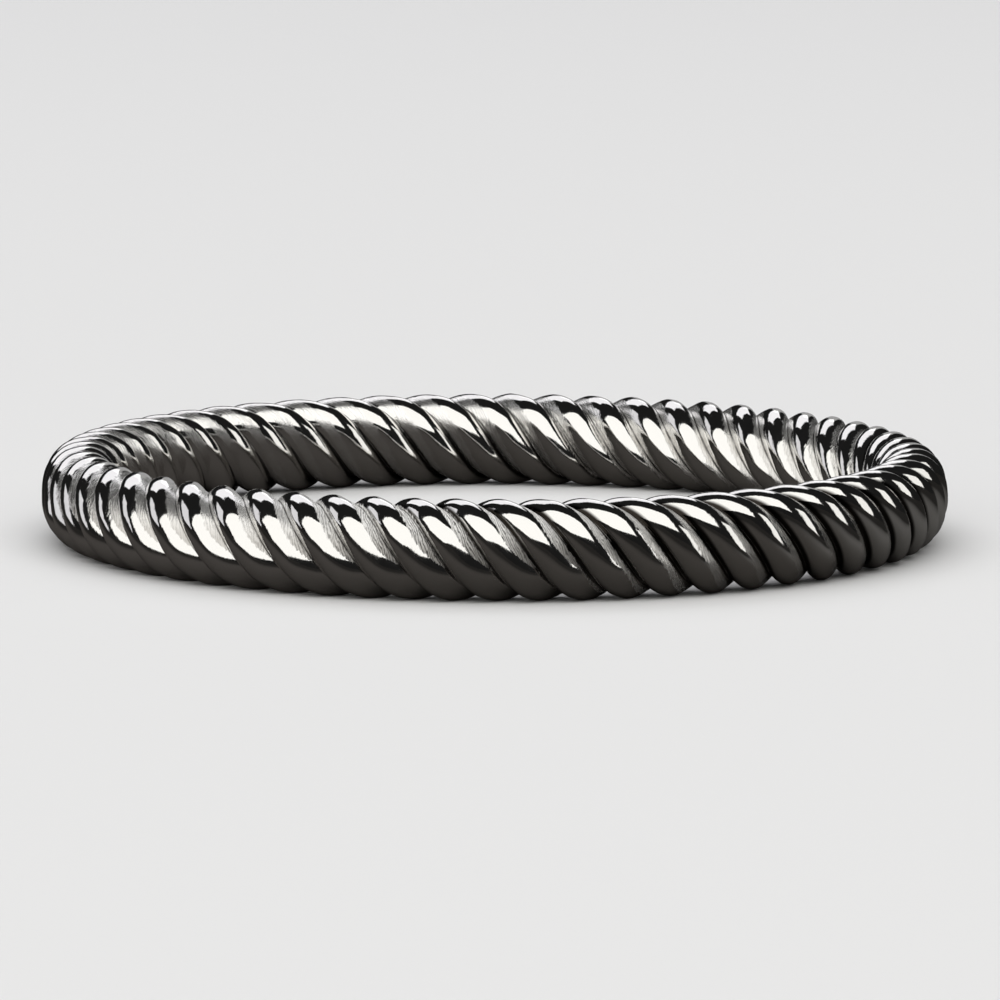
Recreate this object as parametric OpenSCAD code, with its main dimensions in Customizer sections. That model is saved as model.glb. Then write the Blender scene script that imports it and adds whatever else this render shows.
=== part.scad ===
// Rope twist ring: one solid band, shaped like strands laid round each other.
// It lies flat on z = 0 with its centre on the z axis, in millimetres.

/* [Finger] */
// Clear width of the finger hole between the innermost crests
finger_d = 17.3; // [14:0.1:22]

/* [Band] */
// Thickness of the band from the finger side to the outside, over the crests
band_t = 1.78; // [1.2:0.01:3]
// Height of the band along the finger, over the crests
band_h = 2.2; // [1.4:0.01:4]
// Fullness of the band's section: 2 is an oval, more is squarer
section_fullness = 2.2; // [2:0.1:3]

/* [Twist] */
// Strands laid round each other
strands = 4; // [3:1:6]
// Strand crests that cross the outside of the band in one round
crests = 60; // [40:1:72]
// Way the strands lean: -1 falls to the right seen from outside, 1 rises
lay = -1; // [-1:2:1]
// Turn of the first groove about the band's own centreline, degrees
start_turn = 8; // [0:0.5:90]

/* [Strand] */
// Depth of the grooves below the crests
groove_d = 0.23; // [0.1:0.01:0.4]
// Place of a strand's crest, as a share of its width from the lower side
crest_place = 0.47; // [0.3:0.01:0.7]
// Roundness of a strand's lower side: 1 is a straight slope, more is fuller
lower_roundness = 2.8; // [1:0.1:4]
// Roundness of a strand's upper side
upper_roundness = 1.4; // [1:0.1:4]

/* [Handwork] */
// Unevenness of the twist that swells and fades once a round, degrees
sway_once = 39; // [0:1:60]
// Place round the ring where that unevenness runs ahead the most, degrees
sway_once_at = 50.5; // [-180:0.5:180]
// Unevenness of the twist that swells and fades twice a round, degrees
sway_twice = 13; // [0:1:40]
// First place round the ring where it runs ahead the most, degrees
sway_twice_at = -14.5; // [-90:0.5:90]
// Unevenness of the twist that swells and fades three times a round, degrees
sway_thrice = 11; // [0:0.5:30]
// First place round the ring where it runs ahead the most, degrees
sway_thrice_at = 48.5; // [-60:0.5:60]
// Unevenness of the twist that swells and fades four times a round, degrees
sway_four_times = 11.5; // [0:0.5:30]
// First place round the ring where it runs ahead the most, degrees
sway_four_times_at = 12.5; // [-45:0.5:45]

/* [Facets] */
// Flat faces across one strand
across = 6; // [4:2:8]
// Most triangles in the band
face_limit = 11200; // [8000:100:12000]

/* [Hidden] */
band_r = (finger_d + band_t) / 2;
ring_points = strands * across;
stations = floor(face_limit / (2 * ring_points));

// Height of a strand's rounded back over its groove at share u of its width, from 0 to 1
function back_height(u) =
    u < crest_place
        ? 1 - pow((crest_place - u) / crest_place, lower_roundness)
        : 1 - pow((u - crest_place) / (1 - crest_place), upper_roundness);

// How far the twist runs ahead of an even one at an angle round the ring
function sway(round_angle) =
    sway_once * cos(round_angle - sway_once_at)
    + sway_twice * cos(2 * (round_angle - sway_twice_at))
    + sway_thrice * cos(3 * (round_angle - sway_thrice_at))
    + sway_four_times * cos(4 * (round_angle - sway_four_times_at));

// How far the strands have turned about the centreline at an angle round the ring
function strand_turn(round_angle) =
    start_turn + lay * (round_angle * crests / strands + sway(round_angle));

// Reach of the full section in a direction, as a share of its half thickness or height
function section_reach(turn) =
    pow(pow(abs(cos(turn)), section_fullness) + pow(abs(sin(turn)), section_fullness), -1 / section_fullness);

// Point of the band's surface at an angle round the ring, on line k of the strands
function surface_point(round_angle, k) =
    let (turn = strand_turn(round_angle) + k * 360 / ring_points,
         sunk = groove_d * (1 - back_height((k % across) / across)),
         reach = section_reach(turn),
         out = band_r + (band_t / 2 - sunk) * reach * cos(turn),
         up = band_h / 2 + (band_h / 2 - sunk) * reach * sin(turn))
    [out * sin(round_angle), -out * cos(round_angle), up];

// Number of a surface point, where the last station runs into the first one,
// whose lines have moved on by the strands that the twist passed in one round
function point_number(station, k) =
    let (moved = station < stations ? 0 : lay * crests * across,
         line = (k + moved) % ring_points)
    (station % stations) * ring_points + (line + ring_points) % ring_points;

module rope_band() {
    points = [
        for (station = [0 : stations - 1], k = [0 : ring_points - 1])
            surface_point(360 * station / stations, k)
    ];
    faces = [
        for (station = [0 : stations - 1], k = [0 : ring_points - 1])
            let (here = point_number(station, k),
                 beside = point_number(station, k + 1),
                 ahead = point_number(station + 1, k),
                 corner = point_number(station + 1, k + 1))
            each [[here, corner, beside], [here, ahead, corner]]
    ];
    color("silver") polyhedron(points = points, faces = faces);
}

rope_band();
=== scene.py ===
"""Looks of the rope twist ring: its strands, polished on their backs and satin between, in a plain studio."""

import math

import bpy
import numpy as np
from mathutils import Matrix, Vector


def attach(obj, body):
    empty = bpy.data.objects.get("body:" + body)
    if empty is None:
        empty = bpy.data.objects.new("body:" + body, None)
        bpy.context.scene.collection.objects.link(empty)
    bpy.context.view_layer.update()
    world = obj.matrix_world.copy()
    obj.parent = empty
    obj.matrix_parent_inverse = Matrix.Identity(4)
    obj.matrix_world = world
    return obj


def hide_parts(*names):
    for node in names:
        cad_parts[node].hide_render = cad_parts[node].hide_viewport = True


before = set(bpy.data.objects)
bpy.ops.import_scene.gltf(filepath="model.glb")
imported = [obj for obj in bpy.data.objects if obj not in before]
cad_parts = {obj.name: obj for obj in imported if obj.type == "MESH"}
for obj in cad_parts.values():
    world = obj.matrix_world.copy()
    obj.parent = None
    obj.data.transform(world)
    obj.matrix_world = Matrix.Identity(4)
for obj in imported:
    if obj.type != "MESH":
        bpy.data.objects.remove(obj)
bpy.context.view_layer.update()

MM = 0.001

# Sizes of the band, in millimetres and degrees, as the solid has them
FINGER_D = 17.3
BAND_T = 1.78
BAND_H = 2.2
SECTION_FULLNESS = 2.2
STRANDS = 4
CRESTS = 60
LAY = -1
START_TURN = 8
GROOVE_D = 0.23
CREST_PLACE = 0.47
LOWER_ROUNDNESS = 2.8
UPPER_ROUNDNESS = 1.4
BAND_R = (FINGER_D + BAND_T) / 2

# Unevenness of the twist that swells once, twice, three and four times a round: how much, and where most
SWAYS = [(39, 50.5), (13, -14.5), (11, 48.5), (11.5, 12.5)]

# Width of a strand, measured square to it, in millimetres
STRAND_WIDTH = 0.86

# Hand finishing that shows in the shape: softness of the crests, as a share of a strand's side,
# and wavelength and depth of the waves left by the file and the buff, in millimetres
CREST_SOFTNESS = 0.4
HAND_WAVES = [(0.9, 0.004), (0.35, 0.0014)]

# Fineness of the band's mesh: lines across a strand, which crowd towards the grooves, and stations a round
ACROSS = 28
GROOVE_CROWDING = 0.5
STATIONS = 14 * CRESTS
RING_POINTS = STRANDS * ACROSS

# Edges of the satin, as shares of a strand's width, and how far they drift to and fro twice a round
SATIN_START = 0.715
SATIN_END = 0.985
START_DRIFT = 0.07
END_DRIFT = 0.13

# The satin narrows low on the band where it was filed from above: heights at which it is at its full width
# and its narrowest, from 0 at the middle of the band to 1 at its top, and how much of a strand it loses
FULL_AT = 0.35
NARROWEST_AT = -0.4
NARROWING = 0.3

# The satin's colour is painted paler upwards as painted light, and darker low down as painted shade: heights
# at which the painted shade and the painted light are full, the least painted light, and how much less that
# is where it was filed from above
PAINTED_SHADE_AT = 0
PAINTED_LIGHT_AT = 0.6
LEAST_PAINTED_LIGHT = 0.4
LESS_PAINTED_LIGHT_WHERE_FILED = 0.32

# The filing: the middle of the stretch that was filed from above and the cosines at which it fades,
# where the file scored the most, how closely round there, and the coarseness left elsewhere
FILED_AT = -60
FILED_FADE = (0.1, 0.4)
COARSEST_AT = -5
COARSE_FOCUS = 30
FINEST = 0.04

# The photograph's camera, fitted to the ring's outline and grooves, in degrees, millimetres and pixels
CAMERA_ELEVATION = 8.1074
CAMERA_ROLL = -0.1776
CAMERA_DISTANCE = 151.7
CAMERA_AIM = (0.121, 0, 0.887)
FOCAL_PIXELS = 6573
PICTURE_PIXELS = 1000


# The shape of the strands

def fall(from_crest, roundness):
    """Fall of a strand's side below its crest, from 0 there to 1 in the groove, with the crest softened."""
    at_crest = CREST_SOFTNESS**roundness
    at_groove = math.hypot(1, CREST_SOFTNESS)**roundness
    return (np.hypot(from_crest, CREST_SOFTNESS)**roundness - at_crest) / (at_groove - at_crest)


def back_height(share):
    """Height of a strand's rounded back over its groove, from 0 to 1, at a share of the strand's width."""
    lower = np.clip((CREST_PLACE - share) / CREST_PLACE, 0, 1)
    upper = np.clip((share - CREST_PLACE) / (1 - CREST_PLACE), 0, 1)
    return 1 - fall(lower, LOWER_ROUNDNESS) - fall(upper, UPPER_ROUNDNESS)


def strand_turn(angle):
    """How far the strands have turned about the band's centreline at an angle round the ring, in radians."""
    sway = sum(math.radians(most) * np.cos(times * (angle - math.radians(place)))
               for times, (most, place) in enumerate(SWAYS, start=1))
    return math.radians(START_TURN) + LAY * (angle * CRESTS / STRANDS + sway)


def line_turn(angle, line):
    """Turn about the centreline of a line of the strands, where line counts strands from the first one."""
    return strand_turn(angle) + line * 2 * math.pi / STRANDS


def hand_waves(points, wavelength, waves=28, seed=4):
    """Smooth random waves of one scale at points of space, of unit height on average."""
    dice = np.random.default_rng(seed)
    ways = dice.normal(size=(waves, 3))
    ways /= np.linalg.norm(ways, axis=1, keepdims=True)
    ways *= 2 * math.pi / (wavelength * dice.uniform(0.7, 1.4, size=(waves, 1)))
    starts = dice.uniform(0, 2 * math.pi, size=waves)
    return np.sin(points @ ways.T + starts).sum(axis=-1) / math.sqrt(waves / 2)


def band_points(angle, line, share):
    """Points of the band, in millimetres, at angles round the ring on lines of the strands."""
    turn = line_turn(angle, line)
    squareness = abs(np.cos(turn))**SECTION_FULLNESS + abs(np.sin(turn))**SECTION_FULLNESS
    reach = squareness**(-1 / SECTION_FULLNESS)

    def place(sunk):
        out = BAND_R + (BAND_T / 2 - sunk) * reach * np.cos(turn)
        up = BAND_H / 2 + (BAND_H / 2 - sunk) * reach * np.sin(turn)
        return np.stack([out * np.sin(angle), -out * np.cos(angle), up], axis=-1)

    sunk = GROOVE_D * (1 - back_height(share))
    even = place(sunk)
    for wavelength, depth in HAND_WAVES:
        sunk = sunk + depth * hand_waves(even, wavelength)
    return place(sunk)


# The satin

def way_between(value, low, high):
    """How far a value is on the way from low to high, from 0 to 1."""
    return np.clip((value - low) / (high - low), 0, 1)


def filed_from_above(angle):
    """Share of the filing that came from above, which left the lower half of the band polished there."""
    return way_between(np.cos(angle - math.radians(FILED_AT)), *FILED_FADE)


def satin_depth(angle, share, height):
    """How far inside the satin a point lies, in strand widths."""
    drift = np.sin(2 * angle)
    narrowed = way_between(height, FULL_AT, NARROWEST_AT)**2 * filed_from_above(angle)
    start = SATIN_START - START_DRIFT * drift + NARROWING * narrowed
    end = SATIN_END - END_DRIFT * drift
    from_middle = (share - (start + end) / 2 + 0.5) % 1 - 0.5
    return (end - start) / 2 - abs(from_middle)


def satin_painted_light(angle, height):
    """Painted light on the satin, from 0 to 1: its colour is painted paler on the upper half of the band and
    darker low down as painted shade.
    """
    least = LEAST_PAINTED_LIGHT - LESS_PAINTED_LIGHT_WHERE_FILED * filed_from_above(angle)
    return np.maximum(way_between(height, PAINTED_SHADE_AT, PAINTED_LIGHT_AT), least)


def satin_coarseness(angle):
    """Coarseness of the satin from 0 to 1: the file has scored it the most at the front."""
    front = 0.5 + 0.5 * np.cos(angle - math.radians(COARSEST_AT))
    return FINEST + (1 - FINEST) * front**COARSE_FOCUS


# The band

def rope_band(material):
    """The whole band as one mesh whose lines follow the strands, closed at the back of the ring."""
    mesh = bpy.data.meshes.new("rope_band_finish")
    station = np.arange(STATIONS)[:, None]
    k = np.arange(RING_POINTS)[None, :]
    steps = np.arange(ACROSS + 1) / ACROSS
    shares = steps - GROOVE_CROWDING * np.sin(2 * math.pi * steps) / (2 * math.pi)

    angle = 2 * math.pi * station / STATIONS - math.pi
    points = band_points(angle, k // ACROSS + shares[k % ACROSS], shares[k % ACROSS])

    def number(station, k):
        """Number of a point; the last station runs into the first, whose lines the twist has moved on."""
        moved = np.where(station < STATIONS, 0, LAY * CRESTS * ACROSS)
        return (station % STATIONS) * RING_POINTS + (k + moved) % RING_POINTS

    # A face's corners, as steps to the next station and to the next line
    corners = [(0, 0), (1, 0), (1, 1), (0, 1)]
    quads = np.stack([number(station + ahead, k + up) for ahead, up in corners], axis=-1)
    mesh.from_pydata(points.reshape(-1, 3) * MM, [], quads.reshape(-1, 4))
    mesh.polygons.foreach_set("use_smooth", np.ones(len(mesh.polygons), bool))

    # Values belong to a face's corner and not to a point, because the share steps from 1 to 0 at a groove
    corner_station = np.stack([station + ahead + 0 * k for ahead, up in corners], axis=-1)
    corner_k = np.stack([k + up + 0 * station for ahead, up in corners], axis=-1)
    corner_share = np.stack([shares[k % ACROSS + up] + 0 * station for ahead, up in corners], axis=-1)
    add_strand_values(mesh, corner_station, (k // ACROSS)[..., None], corner_share)
    unroll(mesh, corner_station, corner_k)

    mesh.materials.append(material)
    mesh.update()
    band = bpy.data.objects.new("rope_band_finish", mesh)
    bpy.context.collection.objects.link(band)
    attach(band, "root")
    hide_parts("rope_band")


def add_strand_values(mesh, station, strand, share):
    """What the silver reads at each corner: the satin there, and the place on the strand in millimetres."""
    round_step = 2 * math.pi / STATIONS
    strand_step = round_step * math.hypot(BAND_R, CRESTS / STRANDS * (BAND_T + BAND_H) / 4)
    strand_gap = 5  # apart in the noise, so that no two strands are marked alike
    angle = station * round_step - math.pi
    height = np.sin(line_turn(angle, strand + share))
    way = [station * strand_step, share * STRAND_WIDTH, strand * strand_gap + 0 * share]
    add_corner_values(mesh, "strand_share", "FLOAT", share)
    add_corner_values(mesh, "satin_depth", "FLOAT", satin_depth(angle, share, height))
    add_corner_values(mesh, "satin_painted_light", "FLOAT", satin_painted_light(angle, height))
    add_corner_values(mesh, "satin_coarseness", "FLOAT", satin_coarseness(angle))
    add_corner_values(mesh, "strand_way", "FLOAT_VECTOR", np.stack(way, axis=-1))


def add_corner_values(mesh, name, kind, values):
    attribute = mesh.attributes.new(name, kind, "CORNER")
    field = "value" if kind == "FLOAT" else "vector"
    attribute.data.foreach_set(field, values.ravel().astype(np.float32))


def unroll(mesh, station, k, rows=6, margin=0.01):
    """The band unrolled in rows, each a stretch of the ring."""
    row = station[..., :1] * rows // STATIONS
    u = station * rows / STATIONS - row
    v = (row + margin + (1 - 2 * margin) * k / RING_POINTS) / rows
    unrolled = mesh.uv_layers.new(name="OFBake")
    unrolled.data.foreach_set("uv", np.stack([u, v], axis=-1).ravel().astype(np.float32))


# The materials

class Shader:
    """A material's node tree, with a short call for each kind of node that the silver and the floor need."""

    def __init__(self, name):
        self.material = bpy.data.materials.new(name)
        self.material.use_nodes = True
        self.nodes = self.material.node_tree.nodes
        self.links = self.material.node_tree.links
        self.surface = self.nodes["Principled BSDF"]

    def put(self, value, socket):
        if hasattr(value, "is_output"):
            self.links.new(value, socket)
        elif value is not None:
            socket.default_value = value

    def attribute(self, name, output="Fac"):
        node = self.nodes.new("ShaderNodeAttribute")
        node.attribute_name = name
        return node.outputs[output]

    def axes(self, vector):
        node = self.nodes.new("ShaderNodeSeparateXYZ")
        self.put(vector, node.inputs[0])
        return node.outputs

    def length(self, vector):
        node = self.nodes.new("ShaderNodeVectorMath")
        node.operation = "LENGTH"
        self.put(vector, node.inputs[0])
        return node.outputs["Value"]

    def stretch(self, vector, factors):
        node = self.nodes.new("ShaderNodeVectorMath")
        node.operation = "MULTIPLY"
        self.put(vector, node.inputs[0])
        node.inputs[1].default_value = factors
        return node.outputs[0]

    def math(self, operation, a, b=None, c=None):
        node = self.nodes.new("ShaderNodeMath")
        node.operation = operation
        for value, socket in zip((a, b, c), node.inputs):
            self.put(value, socket)
        return node.outputs[0]

    def times(self, a, b):
        return self.math("MULTIPLY", a, b)

    def noise(self, vector, scale=1, detail=2, roughness=0.5):
        node = self.nodes.new("ShaderNodeTexNoise")
        self.put(vector, node.inputs["Vector"])
        node.inputs["Scale"].default_value = scale
        node.inputs["Detail"].default_value = detail
        node.inputs["Roughness"].default_value = roughness
        return node.outputs["Fac"]

    def hatched_lines(self, way, spacing, slant, waver):
        """Wavering parallel lines, a little steeper than the strand, with a spacing in millimetres."""
        place = self.axes(way)
        turns = 2 * math.pi / spacing
        across = self.times(place["Y"], turns)
        slanting = self.math("MULTIPLY_ADD", place["X"], slant * turns, across)
        wavering = self.math("MULTIPLY_ADD", self.noise(way, scale=4, detail=3), waver, slanting)
        return self.smooth(self.math("SINE", wavering), -0.35, 0.8)

    def ramp(self, value, low, high, to_low=0, to_high=1, interpolation="LINEAR"):
        node = self.nodes.new("ShaderNodeMapRange")
        node.interpolation_type = interpolation
        self.put(value, node.inputs["Value"])
        node.inputs["From Min"].default_value = low
        node.inputs["From Max"].default_value = high
        self.put(to_low, node.inputs["To Min"])
        self.put(to_high, node.inputs["To Max"])
        return node.outputs["Result"]

    def smooth(self, value, low, high, to_low=0, to_high=1):
        return self.ramp(value, low, high, to_low, to_high, "SMOOTHSTEP")

    def mixed(self, share, first, second):
        return self.ramp(share, 0, 1, first, second)

    def colours(self, mask, first, second):
        node = self.nodes.new("ShaderNodeMix")
        node.data_type = "RGBA"
        self.put(mask, node.inputs["Factor"])
        self.put(first if hasattr(first, "is_output") else (*first, 1), node.inputs["A"])
        self.put(second if hasattr(second, "is_output") else (*second, 1), node.inputs["B"])
        return node.outputs["Result"]

    def bump(self, height, depth, normal=None):
        """Relief of a depth in millimetres, laid over another one's normal."""
        node = self.nodes.new("ShaderNodeBump")
        node.inputs["Strength"].default_value = 1
        node.inputs["Distance"].default_value = depth * MM
        self.put(height, node.inputs["Height"])
        self.put(normal, node.inputs["Normal"])
        return node.outputs["Normal"]


POLISHED = (0.86, 0.85, 0.825)
# Lit and shaded copies of the satin's colour: painted light on the upper half of the band, painted shade low
# down
SATIN_LIT = (0.98, 0.97, 0.945)
SATIN_SHADED = (0.58, 0.56, 0.53)
SCORED = (0.10, 0.095, 0.088)
# Colour of the tarnish and painted shade in the creases, and of the painted shade on the strands' lower walls
TARNISH_AND_SHADE = (0.03, 0.026, 0.022)


def silver():
    """Silver: polished on the strands' backs, satin beside the grooves, with tarnish and painted shade dark
    in the crease between them.
    """
    m = Shader("rope_silver")
    share = m.attribute("strand_share")
    way = m.attribute("strand_way", "Vector")
    coarse = m.attribute("satin_coarseness")
    painted_light = m.attribute("satin_painted_light")

    # The satin, whose edges are a little ragged along the strand
    ragged = m.noise(m.stretch(way, (11, 4, 1)), detail=4, roughness=0.6)
    depth = m.math("MULTIPLY_ADD", ragged, 0.16, m.attribute("satin_depth"))
    satin = m.smooth(depth, 0.055, 0.10)

    # Tarnish and painted shade in the crease at the bottom of the groove, and painted shade alone on the
    # strand's lower wall where that isn't satin, standing for the dark that wall mirrors
    from_groove = m.math("MINIMUM", share, m.math("SUBTRACT", 1, share))
    patchy = m.smooth(m.noise(way, scale=2.2), 0.3, 0.6, 0.35, 0.9)
    crease_tarnish_and_shade = m.times(m.smooth(from_groove, 0.03, 0.008), patchy)
    painted_wall_shade = m.times(m.smooth(share, 0.12, 0.05), m.math("SUBTRACT", 1, satin))
    tarnish_and_painted_shade = m.math("MAXIMUM", crease_tarnish_and_shade, painted_wall_shade)

    # Grain and file lines of the satin
    grain = m.noise(way, scale=22, detail=4, roughness=0.65)
    file_lines = m.times(m.hatched_lines(way, spacing=0.072, slant=0.3, waver=25),
                         m.smooth(grain, 0.3, 0.6, 0.4, 1))
    matt_relief = m.times(m.times(m.math("ADD", grain, file_lines), satin), m.mixed(coarse, 0.3, 1))
    satin_roughness = m.math("MULTIPLY_ADD", coarse, 0.34, m.ramp(grain, 0.3, 0.7, 0.16, 0.24))
    scored = m.times(file_lines, m.mixed(coarse, 0.08, 1))
    # The satin's colour: painted paler upwards as painted light and darker low down as painted shade, with
    # the file lines over it
    satin_colour = m.colours(scored, m.colours(painted_light, SATIN_SHADED, SATIN_LIT), SCORED)

    # Fine lines and soft waves of the polish
    polish_lines = m.noise(m.stretch(way, (1.5, 45, 1)))
    polish_waves = m.noise(m.stretch(way, (9, 5, 1)))
    polish_roughness = m.ramp(m.noise(way, scale=3, detail=3), 0.35, 0.7, 0.045, 0.10)

    # The coarsest satin scatters light as frost does, and mirrors little
    frosting = m.times(m.times(satin, painted_light), m.mixed(coarse, 0.05, 0.95))
    m.put(m.math("SUBTRACT", 1, frosting), m.surface.inputs["Metallic"])
    # Base colour: polish or satin, darkened by tarnish and painted shade in the crease and by painted shade
    # on the lower wall
    m.put(m.colours(tarnish_and_painted_shade, m.colours(satin, POLISHED, satin_colour), TARNISH_AND_SHADE), m.surface.inputs["Base Color"])
    m.put(m.mixed(satin, polish_roughness, satin_roughness), m.surface.inputs["Roughness"])
    matt = m.bump(matt_relief, 0.0045)
    lines = m.bump(polish_lines, 0.0006, normal=matt)
    m.put(m.bump(polish_waves, 0.0016, normal=lines), m.surface.inputs["Normal"])
    return m.material


# The floor, and a darker floor painted in only for the polish's reflections as a painted reflection, whose
# part near the ring is painted lighter as a pool of painted light standing for the light the ring throws
FLOOR = (0.78, 0.78, 0.78)
PAINTED_GLOW_FRONT = (0.050, 0.046, 0.043)
PAINTED_GLOW_LEFT = (0.06, 0.055, 0.052)
PAINTED_GLOW_RIGHT = (0.09, 0.087, 0.084)
PAINTED_DARK_FAR = (0.018, 0.017, 0.016)


def floor_finish():
    """A pale matt floor, painted dark as a painted reflection where the ring's polish mirrors it, and painted
    lighter near the ring as painted light.
    """
    m = Shader("pale_floor")
    place = m.nodes.new("ShaderNodeNewGeometry").outputs["Position"]
    sideways = m.axes(place)["X"]
    # Painted light near the ring, brighter to the left and to the right, and a painted dark reflection
    # further off, seen only in the polish's reflections
    painted_glow = m.colours(m.smooth(sideways, 2 * MM, -9 * MM), PAINTED_GLOW_FRONT, PAINTED_GLOW_LEFT)
    painted_glow = m.colours(m.smooth(sideways, 7 * MM, 11 * MM), painted_glow, PAINTED_GLOW_RIGHT)
    painted_reflection = m.colours(m.smooth(m.length(place), 12 * MM, 16.5 * MM), painted_glow, PAINTED_DARK_FAR)
    glossy = m.nodes.new("ShaderNodeLightPath").outputs["Is Glossy Ray"]
    m.put(m.colours(glossy, FLOOR, painted_reflection), m.surface.inputs["Base Color"])
    m.surface.inputs["Roughness"].default_value = 0.7
    m.surface.inputs["Specular IOR Level"].default_value = 0.0
    return m.material


# The studio

LIGHT_DISTANCE = 0.5
FLOOR_HALF = 0.6
WHITE = (1, 1, 1)
WARM = (1.0, 0.99, 0.965)
COOL = (0.965, 0.96, 1.0)
DIM_ROOM = (0.011, 0.011, 0.011, 1)


def direction(azimuth, elevation):
    """A direction in degrees: azimuth 0 is away from the camera, 90 to its right."""
    a, e = math.radians(azimuth), math.radians(elevation)
    return Vector((math.sin(a) * math.cos(e), math.cos(a) * math.cos(e), math.sin(e)))


def floor():
    h = FLOOR_HALF
    mesh = bpy.data.meshes.new("floor")
    mesh.from_pydata([(-h, -h, 0), (h, -h, 0), (h, h, 0), (-h, h, 0)], [], [(0, 1, 2, 3)])
    mesh.materials.append(floor_finish())
    sheet = bpy.data.objects.new("floor", mesh)
    bpy.context.collection.objects.link(sheet)


def softbox(name, azimuth, elevation, lean=0, half=(1, 1), glow=1.0, tint=WHITE):
    """A softbox that faces the ring; its half width and height are shares of its distance."""
    light = bpy.data.lights.new(name, "AREA")
    light.shape = "RECTANGLE"
    light.size = 2 * half[0] * LIGHT_DISTANCE
    light.size_y = 2 * half[1] * LIGHT_DISTANCE
    light.energy = glow * math.pi * light.size * light.size_y
    light.color = tint
    lamp = bpy.data.objects.new(name, light)
    bpy.context.collection.objects.link(lamp)
    lamp.location = direction(azimuth, elevation) * LIGHT_DISTANCE
    lamp.rotation_euler = (-lamp.location).to_track_quat("-Z", "Y").to_euler()
    lamp.rotation_euler.rotate_axis("Z", -math.radians(lean))
    return lamp


def studio():
    floor()
    softbox("front_softbox", -165, 36, lean=-25, half=(1.43, 0.56), glow=1.15, tint=WARM)
    softbox("back_top_softbox", -14, 46, lean=-7, half=(0.47, 0.30), glow=1.05, tint=COOL)
    softbox("left_softbox", -79, 13, lean=-10, half=(0.23, 0.32), glow=0.8, tint=COOL)
    softbox("right_softbox", 91, 16, lean=20, half=(0.23, 0.32), tint=WARM)
    softbox("back_strip", 8, 16, half=(0.14, 0.40), glow=0.35)
    fill = softbox("floor_fill", 0, 90)
    fill.visible_glossy = False
    world = bpy.data.worlds.new("studio")
    bpy.context.scene.world = world
    world.use_nodes = True
    world.node_tree.nodes["Background"].inputs["Color"].default_value = DIM_ROOM


def camera():
    sensor = 36
    data = bpy.data.cameras.new("photo_camera")
    data.sensor_width = sensor
    data.lens = FOCAL_PIXELS / PICTURE_PIXELS * sensor
    data.clip_start = 0.005
    data.clip_end = 5
    eye = bpy.data.objects.new("photo_camera", data)
    bpy.context.collection.objects.link(eye)
    eye.location = direction(180, CAMERA_ELEVATION) * CAMERA_DISTANCE * MM
    aim = Vector(CAMERA_AIM) * MM
    eye.rotation_euler = (aim - eye.location).to_track_quat("-Z", "Y").to_euler()
    eye.rotation_euler.rotate_axis("Z", -math.radians(CAMERA_ROLL))
    bpy.context.scene.camera = eye


camera()
rope_band(silver())
studio()
bpy.context.scene.view_settings.view_transform = "Standard"
